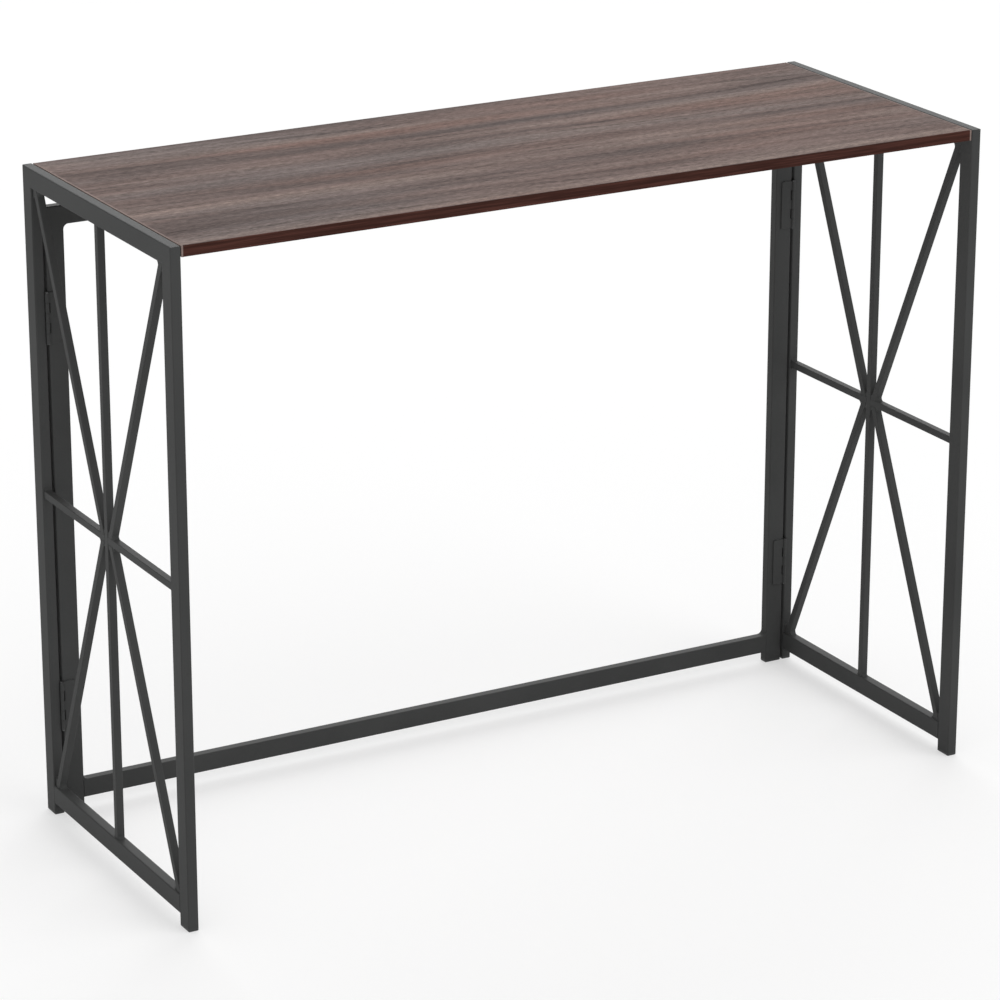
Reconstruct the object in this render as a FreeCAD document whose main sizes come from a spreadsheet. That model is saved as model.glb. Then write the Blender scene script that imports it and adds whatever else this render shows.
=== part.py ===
"""Folding console table: a rear frame, two star-braced side frames on hinges and a lift-off board.

Millimetres. X runs along the table, Y from front to rear, Z up. The origin is on the floor, under the
middle of the table.
"""

import FreeCAD
import Part
import Sketcher
import os

from FreeCAD import Placement, Rotation, Vector

doc = FreeCAD.newDocument("console_table")

# Driving dimensions
SIZES = [
    ("table_width", 1000.0, "over the outer faces of the side frames"),
    ("table_depth", 380.0, "over the front and rear posts"),
    ("table_height", 760.0, "floor to the top of the board"),
    ("tube_thickness", 12.0, "narrow side of every flat tube"),
    ("post_width", 22.0, "wide side of the upright tubes"),
    ("rail_height", 22.0, "wide side of the level tubes"),
    ("tube_wall", 1.2, "wall of every tube"),
    ("tube_corner", 1.5, "outer corner radius of every tube"),
    ("rail_clearance", 14.0, "floor to the underside of the bottom rails"),
    ("rear_drop", 45.0, "top of the board down to the top of the rear frame"),
    ("frame_gap", 3.0, "between a rear frame post and the side frame beside it"),
    ("bar_size", 8.5, "square bar of the stars"),
    ("bar_corner", 0.8, "corner radius of the square bar"),
    ("arm_root_gap", 1.0, "from a slanting arm's root to the upright bar"),
    ("arm_tip_gap", 1.5, "from a slanting arm's tip to the post"),
    ("foot_height", 3.0, "foot below the end of its tube"),
    ("foot_round", 1.0, "rounding of the foot's lower edge"),
    ("plug_length", 14.0, "foot inside its tube"),
    ("plug_clearance", 0.15, "foot to tube, each side"),
    ("hinge_height", 58.0, "length of a hinge along its pin"),
    ("hinge_drop", 125.0, "top of the rear frame down to the middle of the upper hinges"),
    ("hinge_rise", 132.0, "floor up to the middle of the lower hinges"),
    ("leaf_width", 16.0, "pin axis to the free edge of a leaf"),
    ("leaf_thickness", 1.5, "sheet of a hinge leaf"),
    ("leaf_corner", 1.0, "corner radius of a leaf's free edge"),
    ("barrel_radius", 2.2, "outside of the hinge knuckles"),
    ("pin_radius", 1.0, "hinge pin"),
    ("pin_clearance", 0.05, "pin to knuckle bore, on the radius"),
    ("pin_head_radius", 1.8, "head at each end of the pin"),
    ("pin_head_height", 0.8, "thickness of a pin head"),
    ("knuckle_gap", 0.3, "between neighbouring knuckles, along the pin"),
    ("leaf_gap", 1.5, "between one leaf and the other leaf's knuckles"),
    ("board_thickness", 12.0, "the board with its faces"),
    ("board_end_gap", 0.8, "between an end of the board and the side frame"),
    ("board_setback", 0.5, "board behind the faces of the front and rear posts"),
    ("band_thickness", 2.0, "edge bands of the board"),
    ("band_round", 0.6, "rounding of the bands' outer edges"),
    ("tab_reach", 22.0, "carrying leg of a tab, from the rail"),
    ("tab_length", 36.0, "tab along the rail"),
    ("tab_sheet", 2.5, "sheet of a tab"),
    ("tab_inset", 75.0, "face of the front or rear posts to the middle of a tab"),
]

sheet = doc.addObject("Spreadsheet::Sheet", "sizes")
for row, (alias, value, note) in enumerate(SIZES, start=1):
    sheet.set("A%d" % row, alias)
    sheet.set("B%d" % row, str(value))
    sheet.set("C%d" % row, note)
    sheet.setAlias("B%d" % row, alias)
doc.recompute()


class Size:
    """A length written as an expression on the sheet, which can be added, scaled and negated."""

    def __init__(self, text):
        self.text = text

    @staticmethod
    def of(value):
        if isinstance(value, Size):
            return value
        return Size("(%r)" % float(value))

    def __add__(self, other):
        return Size("(%s + %s)" % (self.text, Size.of(other).text))

    def __sub__(self, other):
        return Size("(%s - %s)" % (self.text, Size.of(other).text))

    def __mul__(self, other):
        return Size("(%s * %s)" % (self.text, Size.of(other).text))

    def __truediv__(self, other):
        return Size("(%s / %s)" % (self.text, Size.of(other).text))

    def __neg__(self):
        return Size("(0 - %s)" % self.text)

    __radd__ = __add__
    __rmul__ = __mul__

    def root(self):
        return Size("sqrt(%s)" % self.text)

    def value(self):
        return float(sheet.evalExpression(self.text.replace("sizes.", "")))


def size(alias):
    return Size("sizes." + alias)


ZERO = Size("0")

width = size("table_width")
depth = size("table_depth")
height = size("table_height")
tube = size("tube_thickness")
post = size("post_width")
rail = size("rail_height")
wall = size("tube_wall")
clearance_below = size("rail_clearance")
rear_height = height - size("rear_drop")
gap = size("frame_gap")
bar = size("bar_size")
foot = size("foot_height")
board = size("board_thickness")
band = size("band_thickness")
barrel = size("barrel_radius")
leaf_sheet = size("leaf_thickness")
hinge_height = size("hinge_height")

# Planes that several pieces share
side_middle = width / 2 - tube / 2
side_inner = width / 2 - tube
rear_front = depth / 2 - post
rear_middle = rear_front + tube / 2
rear_outer = side_inner - gap
star_level = (clearance_below + height) / 2
axis_off = gap / 2
hinge_x = side_inner - axis_off
hinge_y = rear_front - axis_off

TURN = {
    "none": Rotation(),
    "about_z": Rotation(Vector(0, 0, 1), 180),
    "about_y": Rotation(Vector(0, 1, 0), 180),
    "about_x": Rotation(Vector(1, 0, 0), 180),
    "left_to_right": Rotation(Vector(0, 0, 1), -90),
    "right_to_left": Rotation(Vector(0, 0, 1), 90),
}

UP = (0, 0, 1)
BACK = (0, 1, 0)
RIGHT = (1, 0, 0)

# How far a cut runs past the faces that it opens, and what counts as the same place or direction
OVERRUN = 5.0
TOLERANCE = 1e-6

pieces = []


def new_piece(label, base, turn):
    """A body with its own label, placed at base (three sizes) and turned."""
    body = doc.addObject("PartDesign::Body", label)
    body.Label = label
    body.Placement = Placement(Vector(), turn)
    for axis, value in zip("xyz", base):
        body.setExpression("Placement.Base." + axis, value.text)
    pieces.append(body)
    return body


def plane_of(body, role):
    for feature in body.Origin.OriginFeatures:
        if feature.Role == role:
            return feature
    raise RuntimeError("no plane " + role)


def new_sketch(body, role):
    drawing = body.newObject("Sketcher::SketchObject", body.Name + "_sketch")
    drawing.AttachmentSupport = [(plane_of(body, role), "")]
    drawing.MapMode = "FlatFace"
    return drawing


def add_polygon(drawing, corners):
    """A closed outline whose corners are held to the sketch origin by the sizes given."""
    points = []
    for across, up in corners:
        points.append(Vector(across.value(), up.value(), 0))
    first = drawing.GeometryCount
    count = len(points)
    for i in range(count):
        drawing.addGeometry(Part.LineSegment(points[i], points[(i + 1) % count]), False)
    for i in range(count):
        drawing.addConstraint(
            Sketcher.Constraint("Coincident", first + i, 2, first + (i + 1) % count, 1)
        )
    for i, (across, up) in enumerate(corners):
        for kind, place, length in (
            ("DistanceX", points[i].x, across),
            ("DistanceY", points[i].y, up),
        ):
            number = drawing.addConstraint(
                Sketcher.Constraint(kind, -1, 1, first + i, 1, place)
            )
            drawing.setExpression("Constraints[%d]" % number, length.text)


def add_rectangle(drawing, low, high):
    corners = [low, (high[0], low[1]), high, (low[0], high[1])]
    add_polygon(drawing, corners)


def add_circle(drawing, radius):
    """A circle about the sketch origin."""
    drawing.addGeometry(Part.Circle(Vector(), Vector(0, 0, 1), radius.value()), False)
    last = drawing.GeometryCount - 1
    drawing.addConstraint(Sketcher.Constraint("Coincident", last, 3, -1, 1))
    number = drawing.addConstraint(Sketcher.Constraint("Radius", last, radius.value()))
    drawing.setExpression("Constraints[%d]" % number, radius.text)


def pad(body, drawing, length, symmetric=False):
    feature = body.newObject("PartDesign::Pad", body.Name + "_pad")
    feature.Profile = drawing
    feature.Type = "Length"
    feature.SideType = "Symmetric" if symmetric else "One side"
    feature.setExpression("Length", length.text)
    doc.recompute()
    return feature


def pocket(body, drawing, length):
    """Takes the outline out of the body, half of the length to each side of the sketch."""
    before = body.Shape.Volume
    feature = body.newObject("PartDesign::Pocket", body.Name + "_pocket")
    feature.Profile = drawing
    feature.Type = "Length"
    feature.SideType = "Symmetric"
    feature.setExpression("Length", length.text)
    doc.recompute()
    if not body.Shape.Volume < before:
        raise RuntimeError(body.Label + ": the pocket takes nothing away")
    return feature


def round_edges(body, wanted, radius):
    """Rounds the edges of the body's last feature that wanted(edge) picks."""
    base = body.Tip
    names = []
    for i, edge in enumerate(base.Shape.Edges, start=1):
        if wanted(edge):
            names.append("Edge%d" % i)
    if not names:
        raise RuntimeError(body.Label + ": no edge to round")
    feature = body.newObject("PartDesign::Fillet", body.Name + "_round")
    feature.Base = (base, names)
    feature.setExpression("Radius", radius.text)
    doc.recompute()
    return feature


def along(direction):
    """Picks straight edges that run along a direction, either way."""
    way = Vector(*direction).normalize()

    def wanted(edge):
        if not isinstance(edge.Curve, Part.Line):
            return False
        return abs(abs(edge.Curve.Direction.dot(way)) - 1) < TOLERANCE

    return wanted


def flat_bar(label, corners, thickness, base, turn, run, corner):
    """A straight bar: an outline in its local YZ plane, given thickness along X, with rounded corners."""
    body = new_piece(label, base, turn)
    drawing = new_sketch(body, "YZ_Plane")
    add_polygon(drawing, corners)
    pad(body, drawing, thickness, symmetric=True)
    round_edges(body, along(run), corner)
    return body


def hollow(body, low, high):
    """Opens a tube from end to end inside its walls."""
    drawing = new_sketch(body, "YZ_Plane")
    add_rectangle(drawing, low, high)
    pocket(body, drawing, tube - wall * 2)


def tube_post(label, tall, mitred, base, turn):
    """An upright tube: outer face at local y = 0, lower end at z = 0, cut to a mitre at its top."""
    corners = [(ZERO, ZERO), (post, ZERO), (post, tall - mitred), (ZERO, tall)]
    body = flat_bar(label, corners, tube, base, turn, UP, size("tube_corner"))
    hollow(body, (wall, Size.of(-OVERRUN)), (post - wall, tall + OVERRUN))


def mitred_rail(label, long, base, turn):
    """A level tube whose ends are mitred into the posts: top at z = rail height, full length there."""
    corners = [(post, ZERO), (long - post, ZERO), (long, rail), (ZERO, rail)]
    body = flat_bar(label, corners, tube, base, turn, BACK, size("tube_corner"))
    hollow(body, (Size.of(-OVERRUN), wall), (long + OVERRUN, rail - wall))


def square_rail(label, long, base, turn):
    """A level tube with square ends between two posts."""
    corners = [(ZERO, ZERO), (long, ZERO), (long, rail), (ZERO, rail)]
    body = flat_bar(label, corners, tube, base, turn, BACK, size("tube_corner"))
    hollow(body, (Size.of(-OVERRUN), wall), (long + OVERRUN, rail - wall))


def foot_cap(label, base, turn):
    """A foot: a flange as wide as the tube on the floor and a plug up inside the tube."""
    body = new_piece(label, base, turn)
    flange = new_sketch(body, "XY_Plane")
    add_rectangle(flange, (-(tube / 2), ZERO), (tube / 2, post))
    pad(body, flange, foot)
    round_edges(body, along(UP), size("tube_corner"))

    def on_floor(edge):
        return abs(edge.BoundBox.ZMin) < TOLERANCE and edge.BoundBox.ZLength < TOLERANCE

    round_edges(body, on_floor, size("foot_round"))
    inset = wall + size("plug_clearance")
    plug = new_sketch(body, "XY_Plane")
    plug.AttachmentOffset = Placement(Vector(0, 0, foot.value()), Rotation())
    plug.setExpression("AttachmentOffset.Base.z", foot.text)
    add_rectangle(plug, (inset - tube / 2, inset), (tube / 2 - inset, post - inset))
    pad(body, plug, size("plug_length"))


def star(side, middle):
    """The eight-armed star of one side frame, in the plane x = middle."""
    low = clearance_below + rail
    high = height - rail
    inner = depth / 2 - post
    corner = size("bar_corner")
    upright = [(ZERO, ZERO), (bar, ZERO), (bar, high - low), (ZERO, high - low)]
    base = (middle, -(bar / 2), low)
    flat_bar(side + "_star_upright", upright, bar, base, TURN["none"], UP, corner)

    reach = inner - bar / 2
    cross = [(ZERO, ZERO), (reach, ZERO), (reach, bar), (ZERO, bar)]
    base = (middle, bar / 2, star_level - bar / 2)
    flat_bar(side + "_star_rear_bar", cross, bar, base, TURN["none"], BACK, corner)
    base = (middle, -(bar / 2), star_level - bar / 2)
    flat_bar(side + "_star_front_bar", cross, bar, base, TURN["about_z"], BACK, corner)

    # A slanting arm keeps the bar's width square to its length: its level cuts are wider by the slope.
    rise = high - star_level - bar / 2
    root = bar / 2 + size("arm_root_gap")
    tip = inner - size("arm_tip_gap")
    run = tip - root
    square = rise * rise + run * run - bar * bar
    cut = (bar * rise * square.root() - bar * bar * run) / (rise * rise - bar * bar)
    arm = [(root, ZERO), (root + cut, ZERO), (tip, rise), (tip - cut, rise)]
    slope = (0.0, (tip - cut - root).value(), rise.value())
    above = star_level + bar / 2
    below = star_level - bar / 2
    for name, level, turn in (
        ("upper_rear", above, "none"),
        ("upper_front", above, "about_z"),
        ("lower_rear", below, "about_y"),
        ("lower_front", below, "about_x"),
    ):
        base = (middle, ZERO, level)
        flat_bar(side + "_star_" + name + "_arm", arm, bar, base, TURN[turn], slope, corner)


def side_frame(side, middle):
    """Posts, rails, star and feet of one side frame."""
    front = -(depth / 2)
    rear = depth / 2
    tall = height - foot
    tube_post(side + "_front_post", tall, rail, (middle, front, foot), TURN["none"])
    tube_post(side + "_rear_post", tall, rail, (middle, rear, foot), TURN["about_z"])
    mitred_rail(side + "_top_rail", depth, (middle, front, height - rail), TURN["none"])
    base = (middle, front + post, clearance_below)
    square_rail(side + "_bottom_rail", depth - post * 2, base, TURN["none"])
    star(side, middle)
    foot_cap(side + "_front_foot", (middle, front, ZERO), TURN["none"])
    foot_cap(side + "_rear_foot", (middle, rear, ZERO), TURN["about_z"])


def rear_frame():
    """The frame that both side frames hinge on: local Y runs along the table here."""
    tall = rear_height - foot
    turn = TURN["left_to_right"]
    back = TURN["right_to_left"]
    left = -rear_outer
    tube_post("rear_left_post", tall, rail, (left, rear_middle, foot), turn)
    tube_post("rear_right_post", tall, rail, (rear_outer, rear_middle, foot), back)
    base = (left, rear_middle, rear_height - rail)
    mitred_rail("rear_top_rail", rear_outer * 2, base, turn)
    base = (left + post, rear_middle, clearance_below)
    square_rail("rear_bottom_rail", (rear_outer - post) * 2, base, turn)
    foot_cap("rear_left_foot", (left, rear_middle, ZERO), turn)
    foot_cap("rear_right_foot", (rear_outer, rear_middle, ZERO), back)


KNUCKLES = 5


def hinge_leaf(label, own, base, turn):
    """A leaf about the pin axis: sheet along local -X, behind the axis, and the knuckles numbered in own."""
    body = new_piece(label, base, turn)
    drawing = new_sketch(body, "XY_Plane")
    add_rectangle(drawing, (-size("leaf_width"), axis_off - leaf_sheet), (ZERO, axis_off))
    pad(body, drawing, hinge_height, symmetric=True)

    short_edge = along(BACK)
    middle_line = -size("leaf_width").value() / 2

    def free_corner(edge):
        return short_edge(edge) and edge.CenterOfMass.x < middle_line

    round_edges(body, free_corner, size("leaf_corner"))
    drawing = new_sketch(body, "XY_Plane")
    add_circle(drawing, barrel)
    pad(body, drawing, hinge_height, symmetric=True)
    drawing = new_sketch(body, "XY_Plane")
    add_circle(drawing, size("pin_radius") + size("pin_clearance"))
    pocket(body, drawing, hinge_height + OVERRUN)

    # Room for the other leaf's knuckles
    step = hinge_height / KNUCKLES
    half = size("knuckle_gap") / 2
    reach = barrel + size("leaf_gap")
    drawing = new_sketch(body, "XZ_Plane")
    for number in range(KNUCKLES):
        if number in own:
            continue
        low = step * number - hinge_height / 2 - half
        high = step * (number + 1) - hinge_height / 2 + half
        if number == 0:
            low = low - OVERRUN
        if number == KNUCKLES - 1:
            high = high + OVERRUN
        add_rectangle(drawing, (-reach, low), (reach, high))
    pocket(body, drawing, reach * 2)


def hinge_pin(label, base):
    """A pin with a head at each end, on the knuckles' ends."""
    body = new_piece(label, base, TURN["none"])
    half = hinge_height / 2
    end = half + size("pin_head_height")
    shank = size("pin_radius")
    head = size("pin_head_radius")
    drawing = new_sketch(body, "XZ_Plane")
    outline = [
        (ZERO, -end),
        (head, -end),
        (head, -half),
        (shank, -half),
        (shank, half),
        (head, half),
        (head, end),
        (ZERO, end),
    ]
    add_polygon(drawing, outline)
    feature = body.newObject("PartDesign::Revolution", body.Name + "_turned")
    feature.Profile = drawing
    feature.ReferenceAxis = (drawing, ["V_Axis"])
    feature.Angle = 360
    doc.recompute()


def hinges():
    """Two hinges a side. The outer and middle knuckles stand on the rear frame's leaf."""
    fixed = (0, 2, 4)
    moving = (1, 3)
    mirror = TURN["about_y"]
    quarter_right = TURN["left_to_right"]
    quarter_left = TURN["right_to_left"].multiply(mirror)
    upper = rear_height - size("hinge_drop")
    lower = size("hinge_rise")
    for name, level in (("upper", upper), ("lower", lower)):
        base = (hinge_x, hinge_y, level)
        hinge_leaf("right_" + name + "_hinge_rear_leaf", fixed, base, TURN["none"])
        hinge_leaf("right_" + name + "_hinge_side_leaf", moving, base, quarter_right)
        hinge_pin("right_" + name + "_hinge_pin", base)
        base = (-hinge_x, hinge_y, level)
        hinge_leaf("left_" + name + "_hinge_rear_leaf", fixed, base, mirror)
        hinge_leaf("left_" + name + "_hinge_side_leaf", moving, base, quarter_left)
        hinge_pin("left_" + name + "_hinge_pin", base)


def tab(label, base, turn):
    """An angle under the board: one leg up the rail's inner face, one leg level, along local Y."""
    body = new_piece(label, base, turn)
    sheet_size = size("tab_sheet")
    drop = rail - board
    outline = [
        (ZERO, -drop),
        (sheet_size, -drop),
        (sheet_size, -sheet_size),
        (size("tab_reach"), -sheet_size),
        (size("tab_reach"), ZERO),
        (ZERO, ZERO),
    ]
    drawing = new_sketch(body, "XZ_Plane")
    add_polygon(drawing, outline)
    pad(body, drawing, size("tab_length"), symmetric=True)


def tabs():
    level = height - board
    place = depth / 2 - size("tab_inset")
    for name, y in (("front", -place), ("rear", place)):
        tab("left_" + name + "_tab", (-side_inner, y, level), TURN["none"])
        tab("right_" + name + "_tab", (side_inner, y, level), TURN["about_z"])


def board_piece(label, low, high, picks):
    """A block of the board between two corners, with the edges named in picks rounded."""
    body = new_piece(label, low, TURN["none"])
    long, deep, thick = (b - a for a, b in zip(low, high))
    drawing = new_sketch(body, "XY_Plane")
    add_rectangle(drawing, (ZERO, ZERO), (long, deep))
    pad(body, drawing, thick)
    if picks:
        round_edges(body, picks(long, deep), size("band_round"))


def long_outer_edges(outer):
    """Picks a band's long edges on its outer face, the near or far one along local X (0) or Y (1)."""

    def picks(long, deep):
        axis, at_far_side = outer
        place = (long, deep)[axis].value() if at_far_side else 0.0
        run = BACK if axis == 0 else RIGHT
        straight = along(run)

        def wanted(edge):
            if not straight(edge):
                return False
            return abs(edge.CenterOfMass[axis] - place) < TOLERANCE

        return wanted

    return picks


def tabletop():
    """The panel with a band on each edge; the end bands run the whole depth."""
    end = side_inner - size("board_end_gap")
    face = depth / 2 - size("board_setback")
    low = height - board
    inner_end = end - band
    inner_face = face - band
    board_piece(
        "tabletop_panel", (-inner_end, -inner_face, low), (inner_end, inner_face, height), None
    )
    board_piece(
        "tabletop_front_band",
        (-inner_end, -face, low),
        (inner_end, -inner_face, height),
        long_outer_edges((1, False)),
    )
    board_piece(
        "tabletop_rear_band",
        (-inner_end, inner_face, low),
        (inner_end, face, height),
        long_outer_edges((1, True)),
    )
    board_piece(
        "tabletop_left_band",
        (-end, -face, low),
        (-inner_end, face, height),
        long_outer_edges((0, False)),
    )
    board_piece(
        "tabletop_right_band",
        (inner_end, -face, low),
        (end, face, height),
        long_outer_edges((0, True)),
    )


rear_frame()
side_frame("left", -side_middle)
side_frame("right", side_middle)
hinges()
tabs()
tabletop()
doc.recompute()

for item in doc.Objects:
    if "Invalid" in item.State or "Error" in item.State:
        raise RuntimeError(item.Label + " did not build")
for body in pieces:
    if body.Shape.isNull() or not body.Shape.isValid() or len(body.Shape.Solids) != 1:
        raise RuntimeError(body.Label + " is not one sound solid")

os.makedirs("parts", exist_ok=True)
for body in pieces:
    body.Shape.exportStep("parts/" + body.Label + ".step")
print(len(pieces), "pieces")
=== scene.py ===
"""Dresses a folding console table: powder coat, wood grain, weld metal and a plain studio.

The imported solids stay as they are. This file paints them and adds the welds that join the
frames, the hinge leaves and the board tabs, each riding on the frame that it belongs to.
"""

import math

import bmesh
import bpy
from bpy.props import FloatProperty, FloatVectorProperty, IntProperty, PointerProperty
from mathutils import Euler, Matrix, Vector


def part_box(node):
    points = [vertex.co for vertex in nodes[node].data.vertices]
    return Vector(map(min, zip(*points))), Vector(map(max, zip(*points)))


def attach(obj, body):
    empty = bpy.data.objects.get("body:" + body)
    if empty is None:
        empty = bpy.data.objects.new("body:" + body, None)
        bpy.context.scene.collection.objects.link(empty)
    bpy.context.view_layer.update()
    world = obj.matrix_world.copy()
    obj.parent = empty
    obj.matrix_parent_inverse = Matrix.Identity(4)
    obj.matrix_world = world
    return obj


bl_info = {
    "name": "Folding Console Table",
    "version": (1, 0, 0),
    "blender": (4, 5, 0),
    "location": "3D View > Sidebar > Table",
    "description": "Paint, wood grain, welds and a plain studio for a folding console table",
    "category": "Object",
}

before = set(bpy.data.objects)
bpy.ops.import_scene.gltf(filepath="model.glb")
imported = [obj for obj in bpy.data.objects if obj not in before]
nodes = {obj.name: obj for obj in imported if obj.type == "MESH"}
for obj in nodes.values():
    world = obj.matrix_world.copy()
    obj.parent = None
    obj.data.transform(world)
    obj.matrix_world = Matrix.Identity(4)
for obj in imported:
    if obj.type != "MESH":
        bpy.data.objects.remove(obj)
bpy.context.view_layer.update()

# Which way each side lies along X, each level along Z and each end along Y
SIDES = {"left": -1, "right": 1}
LEVELS = {"lower": -1, "upper": 1}
ENDS = {"front": -1, "rear": 1}
ALONG_X, ALONG_Y, ALONG_Z = Vector((1, 0, 0)), Vector((0, 1, 0)), Vector((0, 0, 1))
WHITE = (1.0, 1.0, 1.0, 1.0)
TOLERANCE = 1e-5

# Weld beads. SWELL is how far a ring's radius goes up and down about its mean, as a share of the
# largest. An end closes over CLOSING_RINGS rings, and its first ring counts as FIRST_RING of one.
# BEAD_MARGIN of a leaf bead's length stays free beside it.
BEAD_SIDES = 10
RINGS_PER_SWELL = 4
SWELL = 0.08
CLOSING_RINGS = 3
FIRST_RING = 0.6
BEAD_MARGIN = 1 / 3

# Edges of the welds that bend by more than this are drawn sharp
SHARP_ANGLE = math.radians(40.0)

# The studio, in metres
FLOOR_HALF = 60.0
FLOOR_DROP = 0.0003
VIEW_REACH = 200.0

# Sizes of the finishes' patterns along X, Y and Z, in metres
COAT_DRIFT = (0.16, 0.16, 0.16)
COAT_SPECKLE = (0.0009, 0.0009, 0.0009)
PIN_RINGS = (0.02, 0.02, 0.00025)
PIN_OIL = (0.004, 0.004, 0.012)
FOOT_GRAIN = (0.0006, 0.0006, 0.0006)
FOOT_SCUFF = (0.006, 0.006, 0.001)
GRAIN_WANDER = (0.80, 0.20, 1.0)
RING_FADE = (0.30, 0.05, 1.0)
BAND_STREAK = (0.12, 0.12, 0.0022)
BAND_FIBRE = (0.03, 0.03, 0.0006)

# The middle of a pattern's values, and the stretch of them that each mask fades over
MIDDLE = 0.5
COAT_MASK = (0.35, 0.65)
OIL_MASK = (0.40, 0.70)
SCUFF_MASK = (0.55, 0.75)
TINT_MASK = (0.50, 0.72)
PORE_MASK = (0.56, 0.64)
RING_MASK = (0.0, 0.0008)
FADE_MASK = (0.42, 0.60)
BAND_MASK = (0.40, 0.66)

# Shifts, in sizes of a pattern, that keep the board's patterns apart
BROAD_SHIFT = (8, 12, 0)
STREAK_SHIFT = (3, 1, 0)
FIBRE_SHIFT = (7, 2, 0)
TINT_SHIFT = (11, 5, 0)
PORE_SHIFT = (1, 9, 0)
RING_SHIFT = (5, 8, 0)
FADE_SHIFT = (13, 3, 0)
BAND_SHIFT = (2, 4, 0)

# How the board's smaller patterns divide its larger ones, and how wide a tint is beside a broad streak
FINE_STREAKS = 4
PORES_ALONG_FIBRE = 2
PORES_ACROSS_FIBRE = 3
TINT_PER_STREAK = 1.3


def size(name, default, description):
    """A length that a user may change, in metres."""
    return FloatProperty(
        name=name, description=description, default=default, min=0.0, precision=5, unit="LENGTH"
    )


def share(name, default, description):
    """A fraction from 0 to 1."""
    return FloatProperty(
        name=name, description=description, default=default, min=0.0, max=1.0, subtype="FACTOR"
    )


def amount(name, default, description):
    """A plain strength, from 0 upwards."""
    return FloatProperty(name=name, description=description, default=default, min=0.0)


def colour(name, default, description):
    """A colour, in linear light."""
    return FloatVectorProperty(
        name=name, description=description, default=default, min=0.0, max=1.0, subtype="COLOR"
    )


def angle(name, degrees, description):
    """An angle, given in degrees."""
    return FloatProperty(
        name=name, description=description, default=math.radians(degrees), subtype="ANGLE"
    )


class PaintSettings(bpy.types.PropertyGroup):
    """The frames' powder coat, and the steel and plastic beside it."""

    coat: colour("Powder coat", (0.060, 0.061, 0.0605), "Main colour of the frames' paint")
    coat_shade: colour("Coat shade", (0.050, 0.051, 0.0505), "Darker tone that the coat drifts to")
    coat_gloss: share("Coat roughness", 0.46, "How matt the powder coat is")
    coat_sheen: share("Coat sheen", 0.04, "Strength of the powder coat's reflections")
    coat_speckle: share("Coat speckle", 0.25, "Part of the coat's drift of tone that is fine speckle")
    coat_patches: share("Coat patches", 0.12, "How far the coat's roughness drifts")
    peel_size: size("Peel size", 0.0016, "Width of the coat's fine ripples")
    peel_depth: size("Peel depth", 0.00002, "Height of the coat's fine ripples")
    weld_peel: share("Weld peel", 0.4, "How much of the coat's fine ripples a weld keeps")
    weld_ripple: amount("Weld ripple", 2.0, "Height of a weld's own ripples, in peel depths")
    pin: colour("Hinge pin", (0.16, 0.16, 0.16), "Colour of the oiled steel pins")
    pin_oil: share("Pin oil", 0.35, "What the oil leaves of the pins' brightness")
    pin_gloss: share("Pin roughness", 0.25, "How matt the pins are between their rings")
    pin_turning: share("Pin turning", 0.25, "How much the turned rings roughen the pins")
    pin_turning_depth: size("Pin turning depth", 0.00001, "Height of the turned rings")
    foot: colour("Foot", (0.026, 0.027, 0.027), "Colour of the plastic feet")
    foot_pale: amount("Foot pale", 2.4, "How many times brighter the feet's pale tone is")
    foot_scuff: share("Foot scuff", 0.5, "How far a scuff takes the feet to their pale tone")
    foot_gloss: share("Foot roughness", 0.5, "How matt the feet are at their smoothest")
    foot_grain: share("Foot grain", 0.15, "How much the moulded grain roughens the feet")
    foot_grain_depth: size("Foot grain depth", 0.00003, "Height of the moulded grain")


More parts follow.
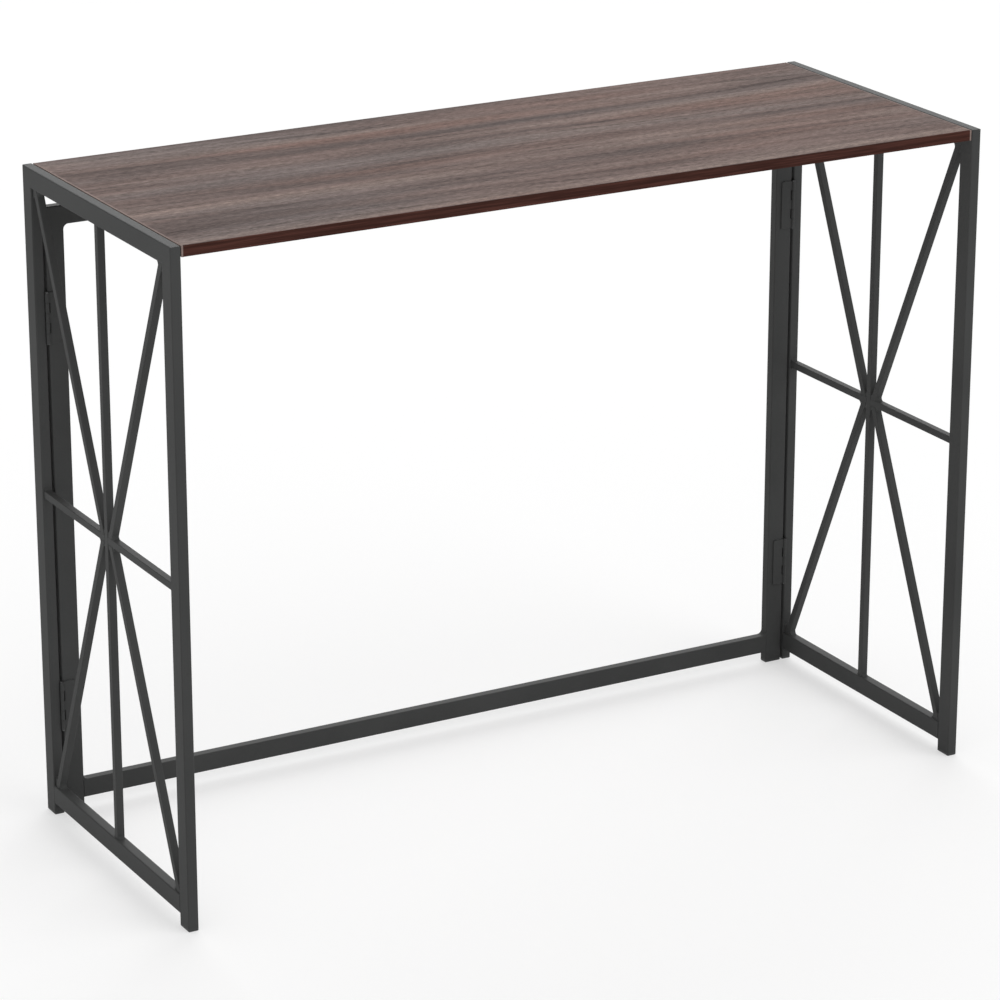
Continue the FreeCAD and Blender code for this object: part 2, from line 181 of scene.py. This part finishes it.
class BoardSettings(bpy.types.PropertyGroup):
    """The board's wood-grain faces and its edge bands."""

    light: colour("Light grain", (0.195, 0.148, 0.131), "Lightest bands of the board's face")
    middle: colour("Middle grain", (0.150, 0.108, 0.097), "Ground colour of the board's face")
    dark: colour("Dark grain", (0.102, 0.077, 0.071), "Darkest bands of the board's face")
    warm: colour("Warm grain", (0.183, 0.107, 0.087), "Reddish tint that drifts through the face")
    cool: colour("Cool grain", (0.128, 0.112, 0.110), "Grey tint that drifts through the face")
    edge: colour("Edge band", (0.036, 0.013, 0.0095), "Ground colour of the front and rear bands")
    edge_streak: colour("Edge streak", (0.078, 0.029, 0.022), "Reddish streaks of the bands")
    end: colour("End band", (0.200, 0.150, 0.135), "Ground colour of the pale bands at both ends")
    end_streak: colour("End streak", (0.250, 0.1875, 0.16875), "Palest streaks of the end bands")
    face_gloss: share("Face roughness", 0.66, "How matt the board's faces are")
    face_sheen: share("Face sheen", 0.02, "Strength of the face's reflections")
    band_sheen: share("Band sheen", 0.06, "Strength of the bands' reflections")
    # Painted highlight: the face is drawn lighter along its front edge, as if light caught that edge
    painted_front_highlight: share("Painted_highlight", 0.45, "How much lighter the streak along the front edge is")
    painted_front_highlight_width: size("Sapwood width", 0.035, "Width of the light streak along the front edge")
    sway: size("Grain sway", 0.050, "How far the grain wanders across the board")
    streak_width: size("Streak width", 0.040, "Width of the broad streaks across the grain")
    streak_length: size("Streak length", 0.75, "Length of the broad streaks along the grain")
    fibre_width: size("Fibre width", 0.0014, "Width of the fine fibres")
    fibre_length: size("Fibre length", 0.010, "Length of the fine fibres")
    lightness: amount("Lightness", 1.12, "Lightness of the face before its streaks")
    broad_contrast: amount("Broad contrast", 3.4, "How far apart the tones of the broad streaks are")
    streak_contrast: amount("Streak contrast", 1.3, "Strength of the fine streaks")
    fibre_contrast: amount("Fibre contrast", 2.9, "Strength of the fibres")
    ring_contrast: share("Ring contrast", 0.28, "How dark the ring lines are")
    tint_strength: share("Tint strength", 0.55, "Strength of the warm and cool tints")
    pore_strength: share("Pore strength", 0.62, "How dark the pores are")
    pore_matt: share("Pore matt", 0.08, "How much more matt a pore is")
    pore_depth: share("Pore depth", 0.6, "Depth of the pores, in grain depths")
    fibre_shine: share("Fibre shine", 0.14, "How much glossier a pale fibre is")
    grain_depth: size("Grain depth", 0.00004, "Height of the fibres")
    band_fibre: share("Band fibre", 0.3, "Part of the bands' streaks that is fine fibre")
    band_patches: share("Band patches", 0.12, "How far the bands' roughness drifts")
    band_depth: size("Band depth", 0.00003, "Height of the bands' fibres")


class WeldSettings(bpy.types.PropertyGroup):
    """The weld metal in the frames' corners and along the hinge leaves."""

    corner: size("Corner fillet", 0.006, "Radius of the fillets in the frames' corners")
    bar_end: size("Bar fillet", 0.0045, "Radius of the fillets where bars meet tubes")
    crotch: size("Crotch fillet", 0.0022, "Radius of the fillets in the narrow gaps at the hub")
    notch: size("Notch fillet", 0.0036, "Radius of the fillets in the gaps at the arms' tips")
    inset: size("Fillet inset", 0.0006, "How far a fillet stays inside the faces it joins")
    ease: size("Fillet easing", 0.0008, "Rounding of a fillet's side edges")
    sink: size("Fillet sink", 0.0002, "How far a fillet sinks into the metal it joins")
    bead: size("Bead radius", 0.0011, "Radius of the short beads on leaves and tabs")
    leaf_run: size("Leaf bead", 0.008, "Length of a bead on a hinge leaf")
    arc_steps: IntProperty(name="Arc steps", description="Steps in a fillet's arc", default=8, min=2)
    swells: IntProperty(name="Bead swells", description="Swells along a bead", default=6, min=1)


class StageSettings(bpy.types.PropertyGroup):
    """The camera, the floor and the light."""

    camera: FloatVectorProperty(
        name="Camera", description="Where the camera stands", subtype="TRANSLATION",
        default=(-2.1419, -3.7973, 1.8767), precision=4,
    )
    turn: angle("Turn", 29.288, "How far the camera turns to the right")
    tilt: angle("Tilt", 19.339, "How far the camera looks down")
    lens: FloatProperty(
        name="Lens", description="Focal length in millimetres", default=146.35, unit="CAMERA"
    )
    floor: colour("Floor", (0.97, 0.97, 0.97), "Colour of the floor")
    floor_lift: share("Floor lift", 0.5, "How far the floor is seen as plain white")
    sky: amount("Sky", 0.68, "Strength of the even light")
    key: amount("Key", 0.70, "Strength of the front lamp")
    key_lean: angle("Key lean", 45.0, "How far the front lamp leans to the front")
    key_turn: angle("Key turn", 35.0, "How far the front lamp stands to the right")
    rim: amount("Rim", 1.2, "Strength of the rear lamp")
    rim_lean: angle("Rim lean", 57.0, "How far the rear lamp leans to the back")
    rim_turn: angle("Rim turn", 29.0, "How far the rear lamp stands to the right")
    lamp_spread: angle("Lamp spread", 50.0, "Apparent width of both lamps")


class Wire:
    """A shader value that takes part in Python sums; each operator adds one Math node."""

    def __init__(self, bench, socket):
        self.bench = bench
        self.socket = socket

    def sum(self, operation, left, right):
        return self.bench.add("ShaderNodeMath", {"operation": operation}, {0: left, 1: right})

    def __add__(self, other):
        return self.sum("ADD", self, other)

    def __radd__(self, other):
        return self.sum("ADD", other, self)

    def __sub__(self, other):
        return self.sum("SUBTRACT", self, other)

    def __rsub__(self, other):
        return self.sum("SUBTRACT", other, self)

    def __mul__(self, other):
        return self.sum("MULTIPLY", self, other)

    def __rmul__(self, other):
        return self.sum("MULTIPLY", other, self)


class Bench:
    """Lays out the nodes of one material or world."""

    def __init__(self, tree):
        self.tree = tree
        tree.nodes.clear()

    def add(self, kind, settings=None, sockets=None, output=0):
        """Adds a node, sets its settings first, then its sockets, and gives one of its outputs."""
        node = self.tree.nodes.new(kind)
        for name, value in (settings or {}).items():
            if name == "stops":
                self.fill_ramp(node.color_ramp, value)
            else:
                setattr(node, name, value)
        for key, value in (sockets or {}).items():
            if isinstance(value, Wire):
                self.tree.links.new(value.socket, node.inputs[key])
            else:
                node.inputs[key].default_value = value
        return Wire(self, node.outputs[output]) if node.outputs else node

    @staticmethod
    def fill_ramp(ramp, stops):
        while len(ramp.elements) < len(stops):
            ramp.elements.new(1.0)
        for element, (position, tone) in zip(ramp.elements, stops):
            element.position = position
            element.color = tone

    def place(self):
        """Where a point lies on the table, in metres."""
        return self.add("ShaderNodeTexCoord", output="Object")

    def pattern(self, place, patch, shift=(0.0, 0.0, 0.0), detail=2.0, roughness=0.5):
        """Noise whose patches have a given size along each axis."""
        scale = [1.0 / side for side in patch]
        sockets = {"Vector": place, "Location": shift, "Scale": scale}
        measured = self.add("ShaderNodeMapping", None, sockets)
        sockets = {"Vector": measured, "Scale": 1.0, "Detail": detail, "Roughness": roughness}
        return self.add("ShaderNodeTexNoise", {"noise_dimensions": "3D"}, sockets)

    def spread(self, value, low, high):
        """A value taken from low to high onto 0 to 1, held there at both ends."""
        sockets = {"Value": value, "From Min": low, "From Max": high}
        return self.add("ShaderNodeMapRange", {"interpolation_type": "SMOOTHSTEP"}, sockets)

    def blend(self, factor, first, second, mode="MIX"):
        """Mixes two colours; in a Mix node those are inputs 6 and 7, and output 2."""
        tones = [tone if isinstance(tone, Wire) else (*tone, 1.0) for tone in (first, second)]
        settings = {"data_type": "RGBA", "blend_type": mode}
        return self.add("ShaderNodeMix", settings, {0: factor, 6: tones[0], 7: tones[1]}, output=2)

    def bump(self, height, distance):
        return self.add("ShaderNodeBump", None, {"Height": height, "Distance": distance}, "Normal")

    def seen(self):
        """1 for what the eye sees, mirrored and through glass too, and 0 for what only gives light."""
        camera, glossy, through = (
            self.add("ShaderNodeLightPath", output=f"Is {ray} Ray")
            for ray in ("Camera", "Glossy", "Transmission")
        )
        direct = self.add("ShaderNodeMath", {"operation": "MAXIMUM"}, {0: camera, 1: glossy})
        return self.add("ShaderNodeMath", {"operation": "MAXIMUM"}, {0: direct, 1: through})

    def surface(self, sockets):
        """A Principled surface and the material's output."""
        shader = self.add("ShaderNodeBsdfPrincipled", None, sockets, "BSDF")
        self.add("ShaderNodeOutputMaterial", None, {"Surface": shader})


def bench_for(name):
    """A new material and the bench for its nodes."""
    material = bpy.data.materials.new(name)
    material.use_nodes = True
    return material, Bench(material.node_tree)


def powder_coat(name, paint, ripple_width=None):
    """Satin powder coat: a slow drift of tone, a fine speckle and orange-peel ripples."""
    material, bench = bench_for(name)
    place = bench.place()
    drift = bench.pattern(place, COAT_DRIFT, detail=3.0)
    speckle = bench.pattern(place, COAT_SPECKLE, detail=1.0)
    mottle = drift * (1 - paint.coat_speckle) + speckle * paint.coat_speckle
    tone = bench.spread(mottle, *COAT_MASK)
    height = bench.pattern(place, (paint.peel_size,) * 3, detail=2.0)
    if ripple_width:
        ripple = bench.pattern(place, (ripple_width,) * 3, detail=0.0)
        height = height * paint.weld_peel + ripple * paint.weld_ripple
    bench.surface({
        "Base Color": bench.blend(tone, tuple(paint.coat_shade), tuple(paint.coat)),
        "Roughness": (drift - MIDDLE) * paint.coat_patches + paint.coat_gloss,
        "Specular IOR Level": paint.coat_sheen,
        "Normal": bench.bump(height, paint.peel_depth),
    })
    return material


def oiled_steel(name, paint):
    """Turned steel: fine rings round the pin, with a trace of dark oil."""
    material, bench = bench_for(name)
    place = bench.place()
    rings = bench.pattern(place, PIN_RINGS, detail=2.0)
    oil = bench.spread(bench.pattern(place, PIN_OIL, detail=2.0), *OIL_MASK)
    dark = tuple(paint.pin_oil * part for part in paint.pin)
    bench.surface({
        "Base Color": bench.blend(oil, tuple(paint.pin), dark),
        "Metallic": 1.0,
        "Roughness": rings * paint.pin_turning + paint.pin_gloss,
        "Normal": bench.bump(rings, paint.pin_turning_depth),
    })
    return material


def moulded_plastic(name, paint):
    """Matt moulded plastic with a fine even grain and pale scuffs."""
    material, bench = bench_for(name)
    place = bench.place()
    grain = bench.pattern(place, FOOT_GRAIN, detail=2.0)
    scuff = bench.spread(bench.pattern(place, FOOT_SCUFF, detail=3.0), *SCUFF_MASK)
    pale = tuple(paint.foot_pale * part for part in paint.foot)
    bench.surface({
        "Base Color": bench.blend(scuff * paint.foot_scuff, tuple(paint.foot), pale),
        "Roughness": grain * paint.foot_grain + paint.foot_gloss,
        "Normal": bench.bump(grain, paint.foot_grain_depth),
    })
    return material


def board_face(name, board):
    """Printed wood grain along the board: broad streaks, ring lines, fine streaks, fibres and pores,
    with a painted highlight along the front edge.
    """
    material, bench = bench_for(name)
    place = bench.place()
    wander = bench.pattern(place, GRAIN_WANDER, detail=2.0) - MIDDLE
    sway = bench.add("ShaderNodeCombineXYZ", None, {"Y": wander * board.sway})
    grain = bench.add("ShaderNodeVectorMath", {"operation": "ADD"}, {0: place, 1: sway})
    along, across = board.streak_length, board.streak_width
    broad_size = (along, across, across)
    streak_size = (along / FINE_STREAKS, across / FINE_STREAKS, across)
    tint_size = (along, across * TINT_PER_STREAK, across)
    fibre_size = (board.fibre_length, board.fibre_width, board.fibre_width)
    pore_width = board.fibre_width / PORES_ACROSS_FIBRE
    pore_size = (board.fibre_length / PORES_ALONG_FIBRE, pore_width, pore_width)

    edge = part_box("tabletop_panel")[0].y
    y = bench.add("ShaderNodeSeparateXYZ", None, {0: grain}, "Y")
    # Painted highlight: the face grows lighter towards its front edge
    painted_front_highlight = bench.spread(y, edge + board.painted_front_highlight_width, edge) * board.painted_front_highlight
    broad = bench.pattern(grain, broad_size, BROAD_SHIFT, detail=1.0) - MIDDLE
    streak = bench.pattern(grain, streak_size, STREAK_SHIFT, detail=2.0) - MIDDLE
    fibre = bench.pattern(grain, fibre_size, FIBRE_SHIFT, detail=4.0, roughness=0.65) - MIDDLE
    tint = bench.pattern(grain, tint_size, TINT_SHIFT, detail=1.0)
    pore = bench.spread(bench.pattern(grain, pore_size, PORE_SHIFT, detail=1.0), *PORE_MASK)
    ring = bench.pattern(grain, broad_size, RING_SHIFT, detail=1.0) - MIDDLE
    fade = bench.spread(bench.pattern(place, RING_FADE, FADE_SHIFT, detail=1.0), *FADE_MASK)
    line = (1 - bench.spread(ring * ring, *RING_MASK)) * fade

    tones = (board.dark, board.middle, board.light)
    stops = [(index / (len(tones) - 1), (*tone, 1.0)) for index, tone in enumerate(tones)]
    level = broad * board.broad_contrast + painted_front_highlight + MIDDLE
    streaked = bench.add("ShaderNodeValToRGB", {"stops": stops}, {"Fac": level}, "Color")
    warmth = bench.spread(tint, *TINT_MASK) * board.tint_strength
    coolness = bench.spread(1 - tint, *TINT_MASK) * board.tint_strength
    warmed = bench.blend(warmth, streaked, tuple(board.warm))
    cooled = bench.blend(coolness, warmed, tuple(board.cool))
    fine = streak * board.streak_contrast + fibre * board.fibre_contrast
    shade = fine - line * board.ring_contrast + board.lightness
    ground = bench.blend(1.0, cooled, shade, "MULTIPLY")
    bench.surface({
        "Base Color": bench.blend(pore * board.pore_strength, ground, tuple(board.dark)),
        "Roughness": board.face_gloss - fibre * board.fibre_shine + pore * board.pore_matt,
        "Specular IOR Level": board.face_sheen,
        "Normal": bench.bump(fibre - pore * board.pore_depth, board.grain_depth),
    })
    return material


def board_band(name, board, ground, streak):
    """An edge band: close streaks along its run over a darker ground."""
    material, bench = bench_for(name)
    place = bench.place()
    streaks = bench.pattern(place, BAND_STREAK, detail=3.0, roughness=0.6)
    fibres = bench.pattern(place, BAND_FIBRE, BAND_SHIFT, detail=1.0)
    tone = bench.spread(streaks * (1 - board.band_fibre) + fibres * board.band_fibre, *BAND_MASK)
    bench.surface({
        "Base Color": bench.blend(tone, ground, streak),
        "Roughness": board.face_gloss + (MIDDLE - fibres) * board.band_patches,
        "Specular IOR Level": board.band_sheen,
        "Normal": bench.bump(fibres, board.band_depth),
    })
    return material


def paint_nodes(material, names):
    """Gives the named CAD solids one finish."""
    for name in names:
        for holder in nodes[name].material_slots:
            holder.material = material


def nodes_ending(*endings):
    """The CAD solids whose names end in one of these words."""
    found = [name for name in sorted(nodes) if name.endswith(endings)]
    if not found:
        raise RuntimeError(f"no solid is named like {endings}")
    return found


def weld_coat(scene):
    """The welds' paint, made once: the powder coat over the ripples of a weld."""
    made = bpy.data.materials.get("weld_coat")
    return made or powder_coat("weld_coat", scene.table_paint, scene.table_welds.bead)


def finish_piece(name, bm, body, material):
    """Turns a bmesh of weld metal into an object that rides on its frame."""
    bmesh.ops.recalc_face_normals(bm, faces=bm.faces)
    mesh = bpy.data.meshes.new(name)
    bm.to_mesh(mesh)
    bm.free()
    mesh.materials.append(material)
    mesh.shade_smooth()
    mesh.set_sharp_from_angle(angle=SHARP_ANGLE)
    piece = bpy.data.objects.new(name, mesh)
    bpy.context.scene.collection.objects.link(piece)
    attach(piece, body)


def only(kind, items):
    """The vertices, edges or faces among what a bmesh operator gives back."""
    return [item for item in items if isinstance(item, kind)]


def add_fillet(bm, welds, corner, along_a, along_b, radius, depth):
    """A hollow fillet in a corner: an arc that touches both faces, carried through the depth."""
    half = along_a.angle(along_b) / 2
    outward = (along_a + along_b).normalized() / math.sin(half)
    inward = depth.normalized() * welds.inset
    bottom = corner - outward * welds.sink + inward
    root = bm.verts.new(bottom)
    start = bm.verts.new(bottom + along_a * radius / math.tan(half))
    first_edge = bm.edges.new((root, start))
    known = set(bm.edges)
    centre = bottom + outward * radius
    swept = bmesh.ops.spin(
        bm, geom=[start], cent=centre, axis=along_a.cross(along_b), dvec=(0, 0, 0),
        angle=2 * half - math.pi, steps=welds.arc_steps, use_merge=False, use_duplicate=False,
    )
    arc = [edge for edge in bm.edges if edge not in known]
    end = only(bmesh.types.BMVert, swept["geom_last"])[0]
    last_edge = bm.edges.new((end, root))
    face = bmesh.ops.edgeloop_fill(bm, edges=[first_edge, *arc, last_edge])["faces"]
    far = bmesh.ops.extrude_face_region(bm, geom=face)["geom"]
    far_verts = only(bmesh.types.BMVert, far)
    far_root = min(far_verts, key=lambda vert: (vert.co - root.co).length)
    bmesh.ops.translate(bm, verts=far_verts, vec=depth - 2 * inward)
    arc += [edge for edge in only(bmesh.types.BMEdge, far) if far_root not in edge.verts]
    bmesh.ops.bevel(
        bm, geom=arc, offset=welds.ease, offset_type="OFFSET", segments=2, profile=0.5,
        affect="EDGES", material=-1, clamp_overlap=True,
    )


def add_bead(bm, welds, start, end):
    """A short run of weld: rings along the run that swell and shrink, and close at both ends."""
    run = end - start
    rings = RINGS_PER_SWELL * welds.swells
    ring = bmesh.ops.create_circle(bm, cap_ends=True, segments=BEAD_SIDES, radius=welds.bead)["verts"]
    face = ring[0].link_faces[0]
    rod = list(ring)
    before = 1.0
    for step in range(rings + 1):
        swell = 1 - SWELL + SWELL * math.cos(2 * math.pi * step / RINGS_PER_SWELL)
        open_share = min(1.0, (min(step, rings - step) + FIRST_RING) / CLOSING_RINGS)
        close = math.sin(math.pi / 2 * open_share)
        if step:
            drawn = bmesh.ops.extrude_face_region(bm, geom=[face])["geom"]
            if step > 1:
                bmesh.ops.delete(bm, geom=[face], context="FACES_ONLY")
            ring, face = only(bmesh.types.BMVert, drawn), only(bmesh.types.BMFace, drawn)[0]
            bmesh.ops.translate(bm, verts=ring, vec=(0.0, 0.0, run.length / rings))
            rod += ring
        change = swell * close / before
        bmesh.ops.scale(bm, verts=ring, vec=(change, change, 1.0))
        before = swell * close
    turn = ALONG_Z.rotation_difference(run).to_matrix().to_4x4()
    bmesh.ops.transform(bm, verts=rod, matrix=Matrix.Translation(start) @ turn)


class TABLE_OT_frames(bpy.types.Operator):
    """Paint the tubes, the star bars and the board tabs"""

    bl_idname = "table.frames"
    bl_label = "Steel Frames"

    def execute(self, context):
        coat = powder_coat("frame_coat", context.scene.table_paint)
        paint_nodes(coat, nodes_ending("_post", "_rail", "_upright", "_bar", "_arm", "_tab"))
        return {"FINISHED"}


class TABLE_OT_hinges(bpy.types.Operator):
    """Paint the hinge leaves and finish the pins"""

    bl_idname = "table.hinges"
    bl_label = "Hinges"

    def execute(self, context):
        paint = context.scene.table_paint
        paint_nodes(powder_coat("hinge_coat", paint), nodes_ending("_leaf"))
        paint_nodes(oiled_steel("pin_steel", paint), nodes_ending("_pin"))
        return {"FINISHED"}


class TABLE_OT_feet(bpy.types.Operator):
    """Finish the six plastic feet"""

    bl_idname = "table.feet"
    bl_label = "Feet"

    def execute(self, context):
        plastic = moulded_plastic("foot_plastic", context.scene.table_paint)
        paint_nodes(plastic, nodes_ending("_foot"))
        return {"FINISHED"}


class TABLE_OT_board(bpy.types.Operator):
    """Lay the wood grain on the board and its bands"""

    bl_idname = "table.board"
    bl_label = "Board"

    def execute(self, context):
        board = context.scene.table_board
        face = board_face("board_face", board)
        long_band = board_band("long_band", board, tuple(board.edge), tuple(board.edge_streak))
        end_band = board_band("end_band", board, tuple(board.end), tuple(board.end_streak))
        paint_nodes(face, ["tabletop_panel"])
        paint_nodes(long_band, ["tabletop_front_band", "tabletop_rear_band"])
        paint_nodes(end_band, ["tabletop_left_band", "tabletop_right_band"])
        return {"FINISHED"}


class TABLE_OT_rear_welds(bpy.types.Operator):
    """Weld the four inner corners of the rear frame"""

    bl_idname = "table.rear_welds"
    bl_label = "Rear Frame Welds"

    def execute(self, context):
        welds = context.scene.table_welds
        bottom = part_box("rear_bottom_rail")
        top_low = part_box("rear_top_rail")[0]
        bm = bmesh.new()
        for side, outward in SIDES.items():
            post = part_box(f"rear_{side}_post")
            face = post[1].x if outward < 0 else post[0].x
            depth = ALONG_Y * (post[1].y - post[0].y)
            for level, up in ((bottom[1].z, 1), (top_low.z, -1)):
                corner = Vector((face, post[0].y, level))
                add_fillet(bm, welds, corner, ALONG_X * -outward, ALONG_Z * up, welds.corner, depth)
        finish_piece("rear_corner_welds", bm, "rear_frame", weld_coat(context.scene))
        return {"FINISHED"}


class TABLE_OT_star_welds(bpy.types.Operator):
    """Weld each star: its hub, and the bar ends on the side frame's tubes"""

    bl_idname = "table.star_welds"
    bl_label = "Star Welds"

    def execute(self, context):
        for side in SIDES:
            self.bar_ends(context.scene, side)
            self.arms(context.scene, side)
        return {"FINISHED"}

    @staticmethod
    def bar_ends(scene, side):
        """Fillets where the upright meets the rails and the cross bars meet the posts."""
        welds = scene.table_welds
        low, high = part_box(f"{side}_star_upright")
        depth = ALONG_X * (high.x - low.x)
        bm = bmesh.new()
        for edge, out in ((low.y, -1), (high.y, 1)):
            for level, up in ((low.z, 1), (high.z, -1)):
                corner = Vector((low.x, edge, level))
                add_fillet(bm, welds, corner, ALONG_Y * out, ALONG_Z * up, welds.bar_end, depth)
        for end, out in ENDS.items():
            low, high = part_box(f"{side}_star_{end}_bar")
            face = low.y if out < 0 else high.y
            for level, up in ((low.z, -1), (high.z, 1)):
                corner = Vector((low.x, face, level))
                add_fillet(bm, welds, corner, ALONG_Y * -out, ALONG_Z * up, welds.bar_end, depth)
        finish_piece(f"{side}_bar_end_welds", bm, f"{side}_frame", weld_coat(scene))

    @staticmethod
    def arms(scene, side):
        """Fillets on both flanks of each slanting arm, at the hub and in the frame's corner."""
        welds = scene.table_welds
        hub, corners = bmesh.new(), bmesh.new()
        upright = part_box(f"{side}_star_upright")
        for level, up in LEVELS.items():
            for end, out in ENDS.items():
                name = f"{side}_star_{level}_{end}_arm"
                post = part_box(f"{side}_{end}_post")
                post_face = post[1].y if out < 0 else post[0].y
                side_face = upright[0].y if out < 0 else upright[1].y
                low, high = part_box(name)
                depth = ALONG_X * (high.x - low.x)
                levels = (low.z, high.z) if up > 0 else (high.z, low.z)
                (inner_root, outer_root), (inner_tip, outer_tip) = (
                    arm_end(name, at, out, low.x) for at in levels
                )
                lean = (inner_tip - inner_root).normalized()
                rise, inboard = ALONG_Z * up, ALONG_Y * -out
                crotch = inner_root - lean * ((inner_root.y - side_face) / lean.y)
                notch = outer_tip + lean * ((post_face - outer_tip.y) / lean.y)
                add_fillet(hub, welds, crotch, rise, lean, welds.crotch, depth)
                add_fillet(hub, welds, outer_root, -inboard, lean, welds.bar_end, depth)
                add_fillet(corners, welds, inner_tip, inboard, -lean, welds.corner, depth)
                add_fillet(corners, welds, notch, -rise, -lean, welds.notch, depth)
        finish_piece(f"{side}_star_hub_welds", hub, f"{side}_frame", weld_coat(scene))
        finish_piece(f"{side}_corner_welds", corners, f"{side}_frame", weld_coat(scene))


def arm_end(name, level, out, at_x):
    """The inner and the outer edge of a slanting arm's end, where it stops at a level."""
    points = [vert.co for vert in nodes[name].data.vertices]
    along = [point.y * out for point in points if abs(point.z - level) < TOLERANCE]
    return Vector((at_x, min(along) * out, level)), Vector((at_x, max(along) * out, level))


class TABLE_OT_leaf_welds(bpy.types.Operator):
    """Weld the hinge leaves to the posts, and the board tabs to the top rails"""

    bl_idname = "table.leaf_welds"
    bl_label = "Leaf and Tab Welds"

    def execute(self, context):
        welds = context.scene.table_welds
        coat = weld_coat(context.scene)
        margin = welds.leaf_run * BEAD_MARGIN
        rear = bmesh.new()
        for side, outward in SIDES.items():
            own = bmesh.new()
            rear_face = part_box(f"rear_{side}_post")[0].y
            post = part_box(f"{side}_rear_post")
            side_face = post[1].x if outward < 0 else post[0].x
            for level in LEVELS:
                hinge = f"{side}_{level}_hinge"
                low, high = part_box(f"{hinge}_rear_leaf")
                free_edge = high.x if outward < 0 else low.x
                for height in (low.z, high.z):
                    start = Vector((free_edge + outward * margin, rear_face, height))
                    add_bead(rear, welds, start, start + ALONG_X * outward * welds.leaf_run)
                low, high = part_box(f"{hinge}_side_leaf")
                for height in (low.z, high.z):
                    start = Vector((side_face, high.y - margin - welds.leaf_run, height))
                    add_bead(own, welds, start, start + ALONG_Y * welds.leaf_run)
            for end in ENDS:
                low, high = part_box(f"{side}_{end}_tab")
                for edge in (low.y, high.y):
                    start = Vector((side_face, edge, low.z + welds.bead))
                    stop = Vector((side_face, edge, high.z - 2 * welds.bead))
                    add_bead(own, welds, start, stop)
            finish_piece(f"{side}_leaf_welds", own, f"{side}_frame", coat)
        finish_piece("rear_leaf_welds", rear, "rear_frame", coat)
        return {"FINISHED"}


class TABLE_OT_stage(bpy.types.Operator):
    """Set the camera, the floor and the light"""

    bl_idname = "table.stage"
    bl_label = "Studio"

    def execute(self, context):
        scene = context.scene
        stage = scene.table_stage
        self.camera(scene, stage)
        self.floor(scene, stage)
        self.lamp(scene, "key_lamp", stage.key, stage.key_lean, stage.key_turn, stage.lamp_spread)
        self.lamp(scene, "rim_lamp", stage.rim, -stage.rim_lean, -stage.rim_turn, stage.lamp_spread)
        self.sky(scene, stage)
        scene.view_settings.view_transform = "Standard"
        return {"FINISHED"}

    @staticmethod
    def camera(scene, stage):
        data = bpy.data.cameras.new("studio_camera")
        data.sensor_fit = "HORIZONTAL"
        data.lens = stage.lens
        data.clip_end = VIEW_REACH
        camera = bpy.data.objects.new("studio_camera", data)
        camera.location = stage.camera
        camera.rotation_euler = Euler((math.pi / 2 - stage.tilt, 0.0, -stage.turn))
        scene.collection.objects.link(camera)
        scene.camera = camera

    @staticmethod
    def floor(scene, stage):
        """A wide pale floor, just under the feet, seen nearer to white than it is lit."""
        bm = bmesh.new()
        bmesh.ops.create_grid(bm, x_segments=1, y_segments=1, size=FLOOR_HALF)
        bmesh.ops.translate(bm, verts=bm.verts, vec=(0.0, 0.0, -FLOOR_DROP))
        mesh = bpy.data.meshes.new("studio_floor")
        bm.to_mesh(mesh)
        bm.free()
        material, bench = bench_for("floor_paper")
        paper = bench.add("ShaderNodeBsdfDiffuse", None, {"Color": (*stage.floor, 1.0)})
        white = bench.add("ShaderNodeEmission", None, {"Strength": 1.0, "Color": WHITE})
        lift = bench.seen() * stage.floor_lift
        mixed = bench.add("ShaderNodeMixShader", None, {0: lift, 1: paper, 2: white})
        bench.add("ShaderNodeOutputMaterial", None, {"Surface": mixed})
        mesh.materials.append(material)
        floor = bpy.data.objects.new("studio_floor", mesh)
        scene.collection.objects.link(floor)

    @staticmethod
    def lamp(scene, name, strength, lean, turn, spread):
        """A wide soft lamp, far off, that leans from straight overhead."""
        data = bpy.data.lights.new(name, "SUN")
        data.energy = strength
        data.angle = spread
        lamp = bpy.data.objects.new(name, data)
        lamp.rotation_euler = Euler((lean, 0.0, turn))
        scene.collection.objects.link(lamp)

    @staticmethod
    def sky(scene, stage):
        """Even white light, seen as plain white behind the table and in its gloss."""
        world = bpy.data.worlds.new("studio_sky")
        world.use_nodes = True
        scene.world = world
        bench = Bench(world.node_tree)
        white = bench.add("ShaderNodeBackground", None, {"Strength": 1.0, "Color": WHITE})
        even = bench.add("ShaderNodeBackground", None, {"Strength": stage.sky, "Color": WHITE})
        mixed = bench.add("ShaderNodeMixShader", None, {0: bench.seen(), 1: even, 2: white})
        bench.add("ShaderNodeOutputWorld", None, {"Surface": mixed})


SETTINGS = {
    "table_paint": PaintSettings,
    "table_board": BoardSettings,
    "table_welds": WeldSettings,
    "table_stage": StageSettings,
}

STEPS = (
    TABLE_OT_frames,
    TABLE_OT_hinges,
    TABLE_OT_feet,
    TABLE_OT_board,
    TABLE_OT_rear_welds,
    TABLE_OT_star_welds,
    TABLE_OT_leaf_welds,
    TABLE_OT_stage,
)


class TABLE_PT_panel(bpy.types.Panel):
    """Lists the table's sizes, colours and making steps"""

    bl_idname = "TABLE_PT_panel"
    bl_label = "Folding Console Table"
    bl_space_type = "VIEW_3D"
    bl_region_type = "UI"
    bl_category = "Table"

    def draw(self, context):
        for group in SETTINGS:
            settings = getattr(context.scene, group)
            box = self.layout.box()
            for name in settings.__annotations__:
                box.prop(settings, name)
        for step in STEPS:
            self.layout.operator(step.bl_idname)


def register():
    for kind in (*SETTINGS.values(), *STEPS, TABLE_PT_panel):
        bpy.utils.register_class(kind)
    for name, kind in SETTINGS.items():
        setattr(bpy.types.Scene, name, PointerProperty(type=kind))


def unregister():
    for name in SETTINGS:
        delattr(bpy.types.Scene, name)
    for kind in reversed((*SETTINGS.values(), *STEPS, TABLE_PT_panel)):
        bpy.utils.unregister_class(kind)


def main():
    register()
    for step in STEPS:
        group, name = step.bl_idname.split(".")
        getattr(getattr(bpy.ops, group), name)()


if __name__ == "__main__":
    main()
